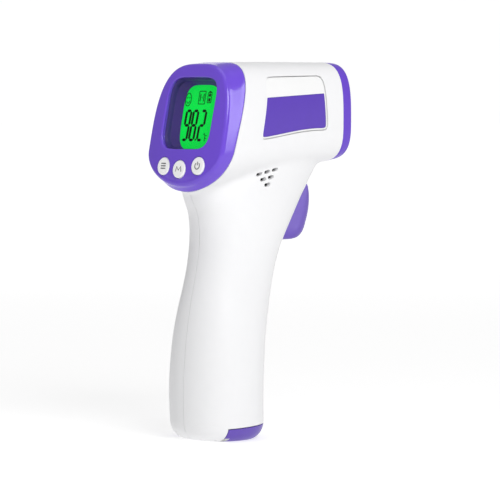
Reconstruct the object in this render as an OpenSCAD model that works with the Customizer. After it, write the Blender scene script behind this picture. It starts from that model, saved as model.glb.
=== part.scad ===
// Handheld infrared forehead thermometer, gun shaped, in millimetres.
// Origin at the centre of the flat base, +Z up, the display faces -Y and the sensor faces +Y.

/* [Housing] */
// Wall thickness of the housing halves
wall = 2; // [1.6:0.1:2.2]
// Radius of the shank of a housing screw
screw_r = 1.1; // [0.9:0.1:1.2]

/* [Display] */
// Tilt of the display face, top set back
face_tilt = 12; // [11.5:0.5:12.5]
// Half width of the display window
window_w = 13.3; // [12.5:0.1:13.5]
// Depth from the face plane to the liquid crystal glass
lcd_depth = 5.2; // [5:0.1:5.6]
// Radius of each button cap
button_r = 3.45; // [3.2:0.05:3.6]

/* [Trigger] */
// Radius of the trigger's steel pivot pin
trigger_pin_r = 1.5; // [1.2:0.1:1.6]
// Half width of the trigger
trigger_w = 6.5; // [6:0.1:6.8]

/* [Batteries] */
// Radius of one AAA cell
cell_r = 5.2; // [5.1:0.05:5.25]
// Length of one AAA cell with its terminal
cell_h = 44.2; // [43.5:0.1:44.5]

/* [Hidden] */

white = [0.94, 0.94, 0.95];
purple = [0.44, 0.33, 0.78];
dark_purple = [0.2, 0.15, 0.38];
button_grey = [0.87, 0.87, 0.87];
steel = [0.72, 0.73, 0.75];
gold = [0.85, 0.68, 0.3];
board_green = [0.1, 0.38, 0.2];
black = [0.08, 0.08, 0.09];

// Sides of each lofted ring, and a fineness for true circles
ring_n = 32;
fine = 48;

// Handle sections: height, rear, front, half width
handle_rows = [[0, -17.3, 17.6, 17.6], [7.2, -17.4, 17.6, 17.7], [17.2, -17.6, 17.1, 18.15],
  [27.2, -17.2, 17.5, 18.15], [39.2, -16, 18.6, 17.6], [49.2, -14.4, 20.9, 16.5],
  [59.2, -12.2, 23.7, 15.1], [67.2, -10.3, 26, 14.9], [75.2, -9.1, 29.1, 15.3],
  [81.2, -9.1, 32.7, 15.5], [87.2, -10.1, 36.6, 15.8], [93.2, -13, 40.9, 15.7],
  [99.2, -15, 45.6, 15.4], [105.2, -13, 50, 14.4], [111.2, -9, 50.5, 12.5]];
handle_power = 2.2;
handle_top = 111.2;
// The rounded base edge, width by height, at the rear, the front and the sides
base_rear = [7, 7.5];
base_front = [6, 7];
base_side = [5, 7];

// Head sections: depth, top, bottom, widest height, half width, powers above and below
head_rows = [[-16, 145.6, 96, 111.5, 21.2, 3.8, 2], [-5, 145.6, 97.1, 112.7, 21, 3.8, 2],
  [10, 145.7, 99.3, 114.7, 20, 3.6, 2.05], [25, 145.8, 101.7, 117.2, 18.6, 3.5, 2.25],
  [40, 145.8, 104.4, 119.9, 17.2, 3.4, 2.6], [54, 145.8, 106.5, 122.4, 16, 3.4, 3.1]];
nose_y = 53.8;
nose_front = 58.9;
nose_mid = 122.4;

// The plane where the bezel meets the housing: tilt, and its depth at one height
bezel_tilt = 17.4;
bezel_y = -9.7;
bezel_z = 113.7;

// The display face: its centre, half width, heights above and below, powers
face_y = -16.9;
face_z = 111.4;
face_w = 21;
face_up = 34.6;
face_down = 13.7;
face_power_up = 3.2;
face_power_down = 1.9;
face_crown = 1.8;
panel_t = 2.2;
window_mid = 14.6;
window_h = 13.8;
window_power = 6;
lens_t = 1;
sleeve_t = 0.6;
view_w = 9.4;
view_h = 13;
view_mid = 14.3;
view_power = 4;
lcd_w = 11.4;
lcd_h = 13.3;
lcd_t = 2;
backlight_t = 2.5;
pcb_depth = 12.4;
pcb_t = 1.6;
pcb_inset = 3.4;
pcb_inset_low = 5.4;

// Button centres on the face, across and up
button_at = [[-9.2, -6], [0, -7.1], [9.75, -5.6]];
button_top = [-1.25, -1.6, -1.25];
flange_depth = 1.5;
flange_t = 0.7;
flange_w = 0.6;
stem_end = 8.4;
switch_top = 8.9;
plunger_r = 0.9;
running = 0.05;
post_at = [[-15.95, 14], [15.95, 14], [-15.4, 1.8], [15.4, 1.8]];
post_r = 1.4;

// Sensor axis height, and the radius of the black holder round the cone
sensor_z = 125.2;
holder_r = 9.6;

// Trigger pivot, and trigger sections: height, back, front, half width factor
pivot = [36, 100.4];
pin_end = 9.8;
knuckle_r = 3.1;
trigger_rows = [[76.3, 26.5, 38.4, 0.8], [76.9, 26.2, 40.8, 0.94], [79, 27, 43.6, 1],
  [83.2, 29.4, 45.6, 1], [88.2, 32.4, 46.9, 1], [93.2, 35.4, 46.9, 1], [96.7, 37.5, 45.8, 1],
  [98.6, 38.4, 44.4, 1]];
slot_gap = 0.4;
switch_z = 84.4;
plunger_y = 27.7;
plunger_len = 4.2;
spring_y = 27.6;
spring_z = [102.4, 110.4];
slot_z = [75.8, 99.8];

// Battery bay
cell_x = 5.5;
cell_y = 0.4;
cell_z = 7;
tray_z = [6.2, 55];

// Battery door: its rear edge and hinge axis, and its height
hinge = [-8.2, 1.4];
hinge_r = 1.4;
door_pin_r = 0.6;
door_top = 5;
door_rise = 2.5;
door_gap = 0.3;
door_wall = 1.6;
door_floor = 1.8;
lug_x = [6.2, 8.6];
barrel_x = 10.2;

// Screws that join the halves, at [depth, height], and how far each head sits from the middle
screw_at = [[11.4, 22.2], [5, 58.9], [9, 85.2], [17, 132.2], [31, 136.2]];
screw_seat = 8.5;
screw_head_r = 2;

// Side panel outline on the side of the head: rear edge, front edge, arched bottom
panel_pts = [[9.8, 139.9], [43.4, 140.6], [44.6, 118.7], [33.4, 119.1], [23.6, 118],
  [13.5, 116.6], [4.2, 115.4]];
panel_corner = 2.4;
panel_split = [[0, 131.5], [50, 133.9]];
panel_depth = 1.1;
// How far the purple label stays inside the plate, and how deep it sits
label_in = 0.9;
label_depth = 0.75;

// Loudspeaker slots: rows of three, two and one below the head on the right side
hole_r = 0.65;
hole_half = [0.9, 0.2];
hole_first = [8.7, 102.5];
hole_step = [4.1, 0.8];
hole_drop = [1.85, -2.05];

// Loudspeaker centre, and the wires inside
speaker_at = [13, 100.8];
cable_route = [[0, 37.4, 121.2], [0, 34, 120.2], [2, 28, 118.2], [3, 20, 117.2], [2, 12, 118.2],
  [1, 6, 119.2], [0, 1.8, 120.2]];
function wire_route(s) = [[8, 13, 98.7 + s], [6.4, 12.6, 99.2 + s], [4, 8, 102.2 + s],
  [3 + s, 2, 106.2 + s], [3 + s, -2, 109.2 + s]];
function battery_route(s) = [[4 * s, -1.5, 55.25], [3.5 * s, -2.5, 57.2], [3 * s, -2.5, 62.2],
  [3 * s, -1, 71.2], [3 * s, 0, 89.2], [4 * s, -1.8, 99.2], [4 * s, -3.1, 105.2]];

// A signed power, for superellipse outlines
function spow(v, e) = sign(v) * pow(abs(v), e);

// Row number, slope and smooth value of one column of a table of sections
function seg(t, v, i = 0) = i >= len(t) - 2 || v < t[i + 1][0] ? i : seg(t, v, i + 1);
function slope(t, i, c) = let (a = max(i - 1, 0), b = min(i + 1, len(t) - 1))
  (t[b][c] - t[a][c]) / (t[b][0] - t[a][0]);
function at(t, v, c) = let (i = seg(t, v), w = t[i + 1][0] - t[i][0], u = (v - t[i][0]) / w,
  a = slope(t, i, c) * w, b = slope(t, i + 1, c) * w)
  (2 * u * u * u - 3 * u * u + 1) * t[i][c] + (u * u * u - 2 * u * u + u) * a
  + (3 * u * u - 2 * u * u * u) * t[i + 1][c] + (u * u * u - u * u) * b;

// How far a rounded edge of given width and height stands in at height z
function edge_in(z, e) = z >= e[1] ? 0 : e[0] * (1 - sqrt(1 - pow(1 - max(z, 0) / e[1], 2)));

// One ring of the handle at height z, moved inwards by o
function handle_ring(z, o) = let (zz = max(z - o, 0), rear = at(handle_rows, z, 1)
  + edge_in(zz, base_rear) + o, front = at(handle_rows, z, 2) - edge_in(zz, base_front) - o,
  w = at(handle_rows, z, 3) - edge_in(zz, base_side) - o)
  [for (k = [0:ring_n - 1]) let (a = 360 * k / ring_n)
    [w * spow(cos(a), 2 / handle_power),
     (rear + front) / 2 + (front - rear) / 2 * spow(sin(a), 2 / handle_power), z]];

// One point of the head at depth y and angle a, moved inwards by o
function head_pt(y, a, o) = let (up = sin(a) >= 0, p = at(head_rows, y, up ? 5 : 6),
  mid = at(head_rows, y, 3), h = (up ? at(head_rows, y, 1) - mid : mid - at(head_rows, y, 2)) - o)
  [(at(head_rows, y, 4) - o) * spow(cos(a), 2 / p), y, mid + h * spow(sin(a), 2 / p)];
function head_ring(y, o) = [for (k = [0:ring_n - 1]) head_pt(y, 360 * k / ring_n, o)];

// The head's outline on the bezel plane moved forward by d, found by repeated steps
function on_plane(a, o, d, y, n) = n == 0 ? head_pt(y, a, o)
  : on_plane(a, o, d, bezel_y + d + (head_pt(y, a, o)[2] - bezel_z) * tan(bezel_tilt), n - 1);
function plane_ring(o, d) = [for (k = [0:ring_n - 1])
  on_plane(360 * k / ring_n, o, d, bezel_y, 8)];

// The face outline made smaller by o, in the face's own plane, as [across, up]
function face_pt(a, o, s = 1) = let (up = sin(a) >= 0, p = up ? face_power_up : face_power_down)
  [s * (face_w - o) * spow(cos(a), 2 / p),
   s * ((up ? face_up : face_down) - o) * spow(sin(a), 2 / p)];
// A point of the face frame, across, depth and up, in the part's frame
function from_face(x, d, v) = [x, face_y + d * cos(face_tilt) + v * sin(face_tilt),
  face_z - d * sin(face_tilt) + v * cos(face_tilt)];
function face_ring(o, d, s = 1) = [for (k = [0:ring_n - 1])
  let (p = face_pt(360 * k / ring_n, o, s)) from_face(p[0], d, p[1])];
function rounded(w, h, p, n = ring_n) = [for (k = [0:n - 1]) let (a = 360 * (k + 0.5) / n)
  [w * spow(cos(a), 2 / p), h * spow(sin(a), 2 / p)]];

// A closed solid through a list of rings with equal numbers of points
module loft(rings) {
  n = len(rings[0]);
  m = len(rings);
  polyhedron(points = [for (r = rings) for (p = r) p], faces = concat(
    [[for (k = [0:n - 1]) k]],
    [for (j = [0:m - 2]) for (k = [0:n - 1]) let (a = j * n + k, b = j * n + (k + 1) % n)
      each [[a, b + n, b], [a, a + n, b + n]]],
    [[for (k = [n - 1:-1:0]) (m - 1) * n + k]]), convexity = 8);
}

// A tube along a list of points, with the given side direction kept at each ring
module tube(path, r, sides = 8) {
  n = len(path);
  loft([for (i = [0:n - 1]) let (t = path[min(i + 1, n - 1)] - path[max(i - 1, 0)],
    f = t / norm(t), ref = abs(f[2]) > 0.8 ? [1, 0, 0] : [0, 0, 1],
    u = cross(f, ref) / norm(cross(f, ref)), v = cross(f, u))
    [for (k = [0:sides - 1]) path[i] + r * (cos(360 * k / sides) * u + sin(360 * k / sides) * v)]]);
}
function coil(r1, r2, z1, z2, turns, steps = 14) = [for (i = [0:turns * steps])
  let (u = i / (turns * steps), r = r1 + (r2 - r1) * u)
  [r * cos(360 * i / steps), r * sin(360 * i / steps), z1 + (z2 - z1) * u]];

// The handle up to a height, and the head
module handle_solid(o = 0, top = handle_top) {
  rows = [o, o + 0.35, o + 1.1, o + 2.2, 4.8, 7.5, 16, 25, 34, 43, 52, 61, 70, 77, 84, 91, 98,
    105, handle_top];
  loft([for (z = rows) if (z <= top) handle_ring(z, o)]);
}
module head_solid(o = 0) {
  loft([for (y = [nose_y, 45, 36, 27, 18, 9, 0, -8, -16]) head_ring(y, o)]);
}
module body_solid(o = 0) {
  handle_solid(o);
  head_solid(o);
}

// Everything on the display side of the bezel plane, moved forward by d
module before_bezel(d = 0) {
  translate([0, bezel_y + d, bezel_z]) rotate([-bezel_tilt, 0, 0])
    translate([-40, -60, -60]) cube([80, 60, 120]);
}
// The face frame: across, depth into the part, and up along the face
module face() {
  translate([0, face_y, face_z]) rotate([-face_tilt, 0, 0]) children();
}
// A disc from depth a to depth b, and a plate of a 2D outline, in the face frame
module pin(x, v, r, a, b) {
  translate([x, a, v]) rotate([-90, 0, 0]) cylinder(r = r, h = b - a, $fn = fine);
}
module plate(pts, v, a, b) {
  translate([0, b, v]) rotate([90, 0, 0]) linear_extrude(b - a) polygon(pts);
}
// A cylinder along X at [depth, height], and a prism of a YZ outline
module along_x(p, r, a, b) {
  translate([a, p[0], p[1]]) rotate([0, 90, 0]) cylinder(r = r, h = b - a, $fn = fine);
}
module prism_x(pts, a, b) {
  translate([a, 0, 0]) rotate([90, 0, 90]) linear_extrude(b - a) polygon(pts);
}
module along_y(z, r, a, b, r2 = -1) {
  translate([0, a, z]) rotate([-90, 0, 0])
    cylinder(r1 = r, r2 = r2 < 0 ? r : r2, h = b - a, $fn = fine);
}

// The side panel's outline made smaller by o, as a prism on the right side
module panel_prism(o, a, b) {
  translate([a, 0, 0]) rotate([90, 0, 90]) linear_extrude(b - a)
    offset(r = panel_corner - o, $fn = 32) offset(delta = -panel_corner) polygon(panel_pts);
}
// The part of the panel below the split between white and purple
module below_split(o = 0) {
  prism_x([[0, 107], [50, 107], panel_split[1] - [0, o], panel_split[0] - [0, o]], 0, 30);
}
// The space the battery door needs: its block, its hinge barrel and its floor as it swings
module door_space() {
  translate([-barrel_x, hinge[0] - 1.9, -5]) cube([2 * barrel_x, 2, hinge[1] + 5]);
  door_block(door_gap);
  along_x(hinge, hinge_r + door_gap, -barrel_x, barrel_x);
}
// The block that the door is cut from, larger by g behind and above; its top rises forwards
module door_block(g) {
  intersection() {
    translate([-30, hinge[0] - g, -5]) cube([60, 60, 20]);
    translate([0, hinge[0], door_top + g]) rotate([door_rise, 0, 0])
      translate([-30, -20, -20]) cube([60, 80, 20]);
  }
}
// The opening that the trigger moves in
module trigger_slot() {
  w = trigger_w + slot_gap;
  translate([-w, 18, slot_z[0]]) cube([2 * w, 36, slot_z[1] - slot_z[0]]);
}

// One half of the housing, drawn on the right side
module half_shell(boss_r) {
  difference() {
    union() {
      difference() {
        body_solid();
        body_solid(wall);
      }
      intersection() {
        body_solid(0.5);
        half_ribs(boss_r);
      }
    }
    translate([-60, -60, -5]) cube([60, 200, 200]);
    before_bezel();
    door_space();
    trigger_slot();
    difference() {
      panel_prism(0, 5, 30);
      head_solid(panel_depth);
    }
    along_x(pivot, trigger_pin_r, 4, pin_end + 0.1);
  }
  hinge_lug();
}
// Ribs and bosses inside one half
module half_ribs(boss_r) {
  for (s = screw_at) along_x(s, boss_r, 0, 25);
  along_x(pivot, 3, trigger_w + 0.8, 25);
  translate([holder_r + 0.2, 48, 105.2]) cube([12, 1.6, 41]);
  translate([0, spring_y - 3, spring_z[1]]) cube([20, 6, 1.6]);
}
// A lug that hangs down beside the door's barrel and holds the hinge pin
module hinge_lug() {
  w = lug_x[1] - lug_x[0];
  difference() {
    intersection() {
      handle_solid(0.1, 12);
      union() {
        along_x(hinge, hinge_r - 0.1, lug_x[0], lug_x[1]);
        translate([lug_x[0], hinge[0] - 1.3, hinge[1]]) cube([w, 2.6, 5]);
        translate([lug_x[0], -15, door_top + door_gap]) cube([w, 9.4, 0.8]);
      }
    }
    along_x(hinge, door_pin_r, lug_x[0] - 1, lug_x[1] - 0.6);
  }
}

module housing_right() {
  color(white) difference() {
    half_shell(2.5);
    for (s = screw_at) along_x(s, screw_r - 0.1, -1, 7);
    for (row = [0:2]) for (i = [0:2 - row])
      speaker_slot(hole_first + row * hole_drop + i * hole_step);
  }
}
// A round-ended slot through the right side, and a bar between its ends
module speaker_slot(p) {
  across = [-hole_half[1], hole_half[0]] * hole_r / norm(hole_half);
  for (s = [-1, 1]) along_x(p + s * hole_half, hole_r, 8, 20);
  prism_x([p - hole_half - across, p + hole_half - across, p + hole_half + across,
    p - hole_half + across], 8, 20);
}
module housing_left() {
  color(white) mirror([1, 0, 0]) difference() {
    half_shell(3.3);
    for (s = screw_at) {
      along_x(s, screw_r + 0.2, -1, 12);
      along_x(s, screw_head_r + 0.2, screw_seat, 30);
    }
  }
}
module side_plate_right() {
  color(white) difference() {
    intersection() {
      head_solid(0.35);
      panel_prism(0.25, 5, 30);
    }
    head_solid(panel_depth - 0.03);
    difference() {
      intersection() {
        below_split(-0.05);
        panel_prism(label_in, 5, 30);
      }
      head_solid(label_depth + 0.03);
    }
  }
}
module side_plate_left() {
  mirror([1, 0, 0]) side_plate_right();
}
module side_label_right() {
  color(purple) difference() {
    intersection() {
      head_solid(0.35);
      panel_prism(label_in + 0.05, 5, 30);
      below_split();
    }
    head_solid(label_depth);
  }
}
module side_label_left() {
  mirror([1, 0, 0]) side_label_right();
}

// The bezel's outside as one closed solid, and its hollow
module bezel_outside() {
  loft([plane_ring(0, -0.15), plane_ring(0, -1.2), face_ring(0, 1.7), face_ring(0.25, 0.8),
    face_ring(0.9, 0.25), face_ring(2, 0), for (s = [0.86, 0.68, 0.45, 0.2, 0.05])
    face_ring(0, -face_crown * (1 - s * s), s)]);
}
module bezel_hollow() {
  loft([plane_ring(wall, 1), face_ring(wall, panel_t + 0.6), face_ring(wall + 1.2, panel_t),
    for (s = [0.7, 0.4, 0.1]) face_ring(0, panel_t - face_crown * (1 - s * s), s)]);
}
module display_bezel() {
  color(purple) difference() {
    union() {
      difference() {
        bezel_outside();
        bezel_hollow();
      }
      face() for (p = post_at) pin(p[0], p[1], post_r, panel_t - 1.2, pcb_depth - 0.02);
    }
    face() {
      plate(rounded(window_w, window_h, window_power), window_mid, -5, 5);
      for (b = button_at) {
        pin(b[0], b[1], button_r + 0.2, -5, 5);
        pin(b[0], b[1], button_r + flange_w + 0.3, flange_depth - 0.3, 9);
      }
      for (p = post_at) pin(p[0], p[1], 0.65, 6, 15);
    }
  }
}
module display_lens() {
  color([0.75, 0.8, 0.85, 0.3]) face()
    plate(rounded(window_w - 0.08, window_h - 0.08, window_power), window_mid, -0.45,
      lens_t - 0.45);
}
// A funnel of dark plastic between the lens and the glass
module lcd_shroud() {
  w = window_w - 0.1 - sleeve_t;
  h = window_h - 0.1 - sleeve_t;
  color(dark_purple) difference() {
    face() {
      plate(rounded(window_w + 1.1, window_h + 0.9, window_power), window_mid, panel_t + 0.15,
        lcd_depth - 0.05);
      plate(rounded(window_w - 0.1, window_h - 0.1, window_power), window_mid, lens_t - 0.4,
        panel_t + 0.5);
    }
    face() plate(rounded(w, h, window_power), window_mid, -1, 3);
    loft([for (r = [[lcd_depth + 0.5, view_w - 0.3, view_h - 0.3, view_mid, view_power],
      [2.9, w, h, window_mid, window_power]])
      [for (p = rounded(r[1], r[2], r[4])) from_face(p[0], r[0], r[3] + p[1])]]);
  }
}
module lcd_glass() {
  color([0.05, 0.75, 0.25]) face() plate([[-lcd_w, -lcd_h], [lcd_w, -lcd_h], [lcd_w, lcd_h],
    [-lcd_w, lcd_h]], view_mid, lcd_depth, lcd_depth + lcd_t);
}
module lcd_backlight() {
  d = lcd_depth + lcd_t + 0.05;
  color([0.8, 1, 0.85]) face() translate([-lcd_w + 0.3, d, view_mid - lcd_h + 2.6])
    cube([2 * lcd_w - 0.6, backlight_t, 2 * lcd_h - 3]);
}
// A frame that carries the glass and the backlight on the board
module lcd_holder() {
  color(white) face() difference() {
    translate([-lcd_w - 1.5, lcd_depth + 0.2, view_mid - lcd_h - 1.4])
      cube([2 * lcd_w + 3, pcb_depth - lcd_depth - 0.25, 2 * lcd_h + 2.8]);
    translate([-lcd_w - 0.1, 0, view_mid - lcd_h - 0.1])
      cube([2 * lcd_w + 0.2, 20, 2 * lcd_h + 0.2]);
  }
}
// Rubber strips that join the glass's lower and upper edges to the board
module zebra_strips() {
  d = lcd_depth + lcd_t + 0.02;
  color(black) face() translate([-lcd_w + 0.8, d, view_mid - lcd_h + 0.2])
    cube([2 * lcd_w - 1.6, pcb_depth - d - 0.02, 2]);
}
module main_pcb() {
  color(board_green) face() difference() {
    plate([for (a = [0:7.5:352.5]) face_pt(a, a <= 180 ? pcb_inset : pcb_inset_low)], 0,
      pcb_depth, pcb_depth + pcb_t);
    for (p = post_at) pin(p[0], p[1], 0.9, 5, 20);
  }
}
module pcb_chips() {
  d = pcb_depth + pcb_t;
  color(black) face() {
    translate([-5, d, 8]) cube([10, 1.6, 10]);
    translate([-12, d, 2]) cube([5, 1.3, 4]);
    translate([7.5, d, 0]) cube([3.5, 1.1, 3]);
    for (i = [0:3]) translate([-12 + 2.4 * i, d, 22]) cube([1.2, 0.6, 2]);
    pin(9.5, 23, 2.2, d, d + 3.2);
  }
}
module button_cap(i) {
  b = button_at[i];
  color(button_grey) face() {
    pin(b[0], b[1], button_r, button_top[i], flange_depth + flange_t);
    pin(b[0], b[1], button_r + flange_w, flange_depth, flange_depth + flange_t);
    pin(b[0], b[1], 1.4, flange_depth, stem_end);
  }
}
module mode_button() {
  button_cap(0);
}
module memory_button() {
  button_cap(1);
}
module off_button() {
  button_cap(2);
}
module plunger(i) {
  color(black) face() pin(button_at[i][0], button_at[i][1], plunger_r, stem_end, switch_top + 1);
}
module mode_plunger() {
  plunger(0);
}
module memory_plunger() {
  plunger(1);
}
module off_plunger() {
  plunger(2);
}
module tact_switches() {
  color(steel) face() for (b = button_at) difference() {
    translate([b[0] - 1.35, switch_top, b[1] - 1.35])
      cube([2.7, pcb_depth - switch_top - 0.01, 2.7]);
    pin(b[0], b[1], plunger_r + running, switch_top - 1, switch_top + 1.9);
  }
}

// The purple collar at the nose
module sensor_ring() {
  color(purple) difference() {
    union() {
      loft([nose_ring(nose_front, 1, 1.6), nose_ring(nose_front - 0.3, 0.5, 1.3),
        nose_ring(nose_front - 1.2, 0.1, 0.6), head_ring(nose_y + 0.1, 0)]);
      loft([head_ring(nose_y + 0.2, wall + 0.15), head_ring(nose_y - 3, wall + 0.15)]);
    }
    loft([nose_ring(nose_front + 1, 3.2, 3.2), head_ring(nose_y - 4, wall + 1.2)]);
  }
}
// The nose outline at depth y, smaller by o all round and raised at the bottom by lift
function nose_ring(y, o, lift) = [for (p = head_ring(nose_y, o))
  [p[0], y, p[2] < nose_mid ? nose_mid - (nose_mid - p[2]) * (1 - lift / 17) : p[2]]];
module nose_plate() {
  color([0.25, 0.25, 0.28]) difference() {
    loft([nose_ring(nose_front - 1.1, 3.4, 3.2), nose_ring(nose_front - 2.6, 3.4, 3.2)]);
    along_y(sensor_z, 8.1, 50, 60);
  }
}
module sensor_cone() {
  color(steel) difference() {
    along_y(sensor_z, 8, 44.5, nose_front - 0.6);
    along_y(sensor_z, 2.9, 44, nose_front, 7.4);
    along_y(sensor_z, 2.9, 44, 46);
  }
}
module sensor_holder() {
  color(black) difference() {
    union() {
      along_y(sensor_z, holder_r, 40.2, 52);
      translate([-12.4, 49.7, sensor_z - 5]) cube([24.8, 1.2, 10]);
    }
    along_y(sensor_z, 8.05, 44.45, 60);
    along_y(sensor_z, 2.75, 39, 50);
  }
}
module thermopile_can() {
  color(gold) difference() {
    union() {
      along_y(sensor_z, 2.7, 40.3, 43.9);
      along_y(sensor_z, 3.2, 39.4, 40.15);
    }
    along_y(sensor_z, 1.5, 43.4, 45);
  }
}
module thermopile_window() {
  color([0.35, 0.3, 0.35]) along_y(sensor_z, 1.45, 43.42, 43.85);
}
module sensor_board() {
  color(board_green) translate([-7, 37.7, sensor_z - 7]) cube([14, 1.6, 14]);
}
// The four-core lead from the sensor board to the main board
module sensor_cable() {
  color(white) tube(cable_route, 1);
}

// The trigger: a rounded lever with a knuckle at its top and an arm behind
module trigger() {
  color(purple) difference() {
    union() {
      difference() {
        loft([for (r = trigger_rows) trigger_ring(r, 0)]);
        loft([for (i = [2:6]) trigger_ring(trigger_rows[i], 1.6)]);
      }
      along_x(pivot, knuckle_r, -6, 6);
      prism_x([[36, 97.8], [40, 93.2], [38, 91.2], [32, 95.2]], -2, 2);
      translate([-2.6, spring_y - 2.8, slot_z[1]]) cube([5.2, pivot[0] - spring_y + 2.8, 2.4]);
      prism_x([[29, 81.2], [40, 81.2], [42, 89.2], [38, 99.2], [34, 100.2], [30, 87.2]], -1.2,
        1.2);
      along_y(switch_z, 1.5, plunger_y, 31);
    }
    along_x(pivot, trigger_pin_r + running, -10, 10);
  }
}
// One ring of the trigger with a rounded front, its sides in by o and its back at 2 o behind
function trigger_ring(r, o) = let (w = trigger_w * r[3] - o, a = r[1] - 2 * o, f = r[2] - o)
  concat([[-w, a, r[0]], [w, a, r[0]]], [for (k = [0:15]) let (t = 90 - 12 * k)
    [w * spow(sin(t), 0.8), a + (f - a) * (0.55 + 0.45 * spow(cos(t), 0.8)), r[0]]]);
module trigger_pin() {
  color(steel) along_x(pivot, trigger_pin_r, -pin_end, pin_end);
}
module trigger_spring() {
  color(steel) translate([0, spring_y, 0])
    tube(coil(2, 2, spring_z[0] + 0.3, spring_z[1] - 0.35, 6), 0.28, 6);
}
module trigger_plunger() {
  color(black) along_y(switch_z, 1.6, plunger_y - plunger_len, plunger_y - 0.25);
}
module trigger_switch() {
  color(steel) difference() {
    translate([-3.5, 18, switch_z - 3.5]) cube([7, 7.5, 7]);
    along_y(switch_z, 1.6 + running, 21.5, 30);
  }
}
module trigger_board() {
  color(board_green) translate([-6, 16.3, switch_z - 8]) cube([12, 1.6, 16]);
}

module speaker() {
  color(black) difference() {
    along_x(speaker_at, 6, 8.1, 11.2);
    along_x(speaker_at, 1, 10.5, 12);
  }
}
module speaker_wires() {
  color([0.7, 0.1, 0.1]) tube(wire_route(0), 0.45, 6);
  color(black) tube(wire_route(1.4), 0.45, 6);
}

// Batteries with a raised positive terminal, the second upside down
module cell() {
  translate([0, 0, 0.2]) cylinder(r = cell_r, h = cell_h - 1.2, $fn = fine);
  cylinder(r = cell_r - 1, h = 0.5, $fn = fine);
  cylinder(r = 1.9, h = cell_h, $fn = fine);
}
module battery_1() {
  color([0.25, 0.27, 0.3]) translate([-cell_x, cell_y, cell_z]) cell();
}
module battery_2() {
  color([0.25, 0.27, 0.3]) translate([cell_x, cell_y, cell_z + cell_h]) mirror([0, 0, 1]) cell();
}
module battery_tray() {
  outer = cell_r + 1.3;
  color(black) difference() {
    translate([0, cell_y, tray_z[0]]) linear_extrude(tray_z[1] - tray_z[0]) {
      for (s = [-1, 1]) translate([s * cell_x, 0]) circle(r = outer, $fn = fine);
      translate([-cell_x, -outer]) square([2 * cell_x, 2 * outer]);
    }
    for (s = [-1, 1]) translate([s * cell_x, cell_y, 0])
      cylinder(r = cell_r + 0.15, h = tray_z[1] - 1.2, $fn = fine);
    translate([-2, cell_y - cell_r, 0]) cube([4, 2 * cell_r, tray_z[1] - 1.2]);
  }
}
// The contact plates and the spring at the top of the bay
module tray_contacts() {
  z = cell_z + cell_h;
  color(steel) {
    for (s = [-1, 1]) translate([s * cell_x, cell_y, tray_z[1] - 1.75])
      cylinder(r = 4, h = 0.5, $fn = fine);
    translate([-cell_x, cell_y, z + 0.05]) cylinder(r = 1.6, h = tray_z[1] - 1.8 - z, $fn = fine);
    translate([cell_x, cell_y, 0]) tube(coil(3.6, 2, tray_z[1] - 2.05, z + 0.35, 3), 0.28, 6);
  }
}
// The plate on the door that joins the two cells, with a dimple under each
module door_contact() {
  color(steel) {
    translate([-9, cell_y - 3.5, door_floor + 2]) cube([18, 7, 0.5]);
    for (s = [-1, 1]) translate([s * cell_x, cell_y, door_floor + 2.3])
      cylinder(r = 1.7, h = cell_z - door_floor - 2.4, $fn = fine);
  }
}
module battery_wires() {
  color([0.7, 0.1, 0.1]) tube(battery_route(-1), 0.5, 6);
  color(black) tube(battery_route(1), 0.5, 6);
}
module battery_door() {
  color(purple) difference() {
    intersection() {
      handle_solid(0, 12);
      union() {
        door_block(0);
        along_x(hinge, hinge_r, -lug_x[0] + 0.2, lug_x[0] - 0.2);
      }
    }
    difference() {
      intersection() {
        handle_solid(door_wall, 12);
        translate([-30, hinge[0] + 3.2, door_floor]) cube([60, 60, 10]);
      }
      for (s = [-1, 1]) translate([s * cell_x - 3, cell_y - 2.5, 0]) cube([6, 5, door_floor + 2]);
    }
    for (s = [-1, 1]) {
      translate([s > 0 ? lug_x[0] - 0.2 : -lug_x[1] - 0.2, hinge[0] - 3, -1])
        cube([lug_x[1] - lug_x[0] + 0.4, 4.8, 9]);
      intersection() {
        along_x(hinge, hinge_r + door_gap, s > 0 ? lug_x[1] : -30, s > 0 ? 30 : -lug_x[1]);
        translate([-30, hinge[0] - 3, hinge[1] - 3]) cube([60, 6, 3]);
      }
    }
    along_x(hinge, door_pin_r + running, -lug_x[1], lug_x[1]);
  }
}
module battery_door_pin() {
  color(steel) along_x(hinge, door_pin_r, -lug_x[1] + 0.65, lug_x[1] - 0.65);
}
module housing_screws() {
  color(steel) for (s = screw_at) {
    along_x(s, screw_r - 0.1, -screw_seat - 0.2, 6.5);
    difference() {
      along_x(s, screw_head_r, -screw_seat - 1.6, -screw_seat - 0.02);
      translate([-screw_seat - 3, s[0] - 1.3, s[1] - 0.25]) cube([2, 2.6, 0.5]);
      translate([-screw_seat - 3, s[0] - 0.25, s[1] - 1.3]) cube([2, 0.5, 2.6]);
    }
  }
}
module pcb_screws() {
  d = pcb_depth + pcb_t;
  color(steel) face() for (p = post_at) {
    pin(p[0], p[1], 0.65, 8, d + 0.4);
    pin(p[0], p[1], 1.5, d + 0.02, d + 1.1);
  }
}

housing_left();
housing_right();
side_plate_left();
side_plate_right();
side_label_left();
side_label_right();
display_bezel();
display_lens();
lcd_shroud();
lcd_glass();
lcd_backlight();
lcd_holder();
zebra_strips();
main_pcb();
pcb_chips();
mode_button();
memory_button();
off_button();
mode_plunger();
memory_plunger();
off_plunger();
tact_switches();
sensor_ring();
nose_plate();
sensor_cone();
sensor_holder();
thermopile_can();
thermopile_window();
sensor_board();
sensor_cable();
trigger();
trigger_pin();
trigger_spring();
trigger_switch();
trigger_plunger();
trigger_board();
speaker();
speaker_wires();
battery_tray();
battery_1();
battery_2();
tray_contacts();
door_contact();
battery_wires();
battery_door();
battery_door_pin();
housing_screws();
pcb_screws();
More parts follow.
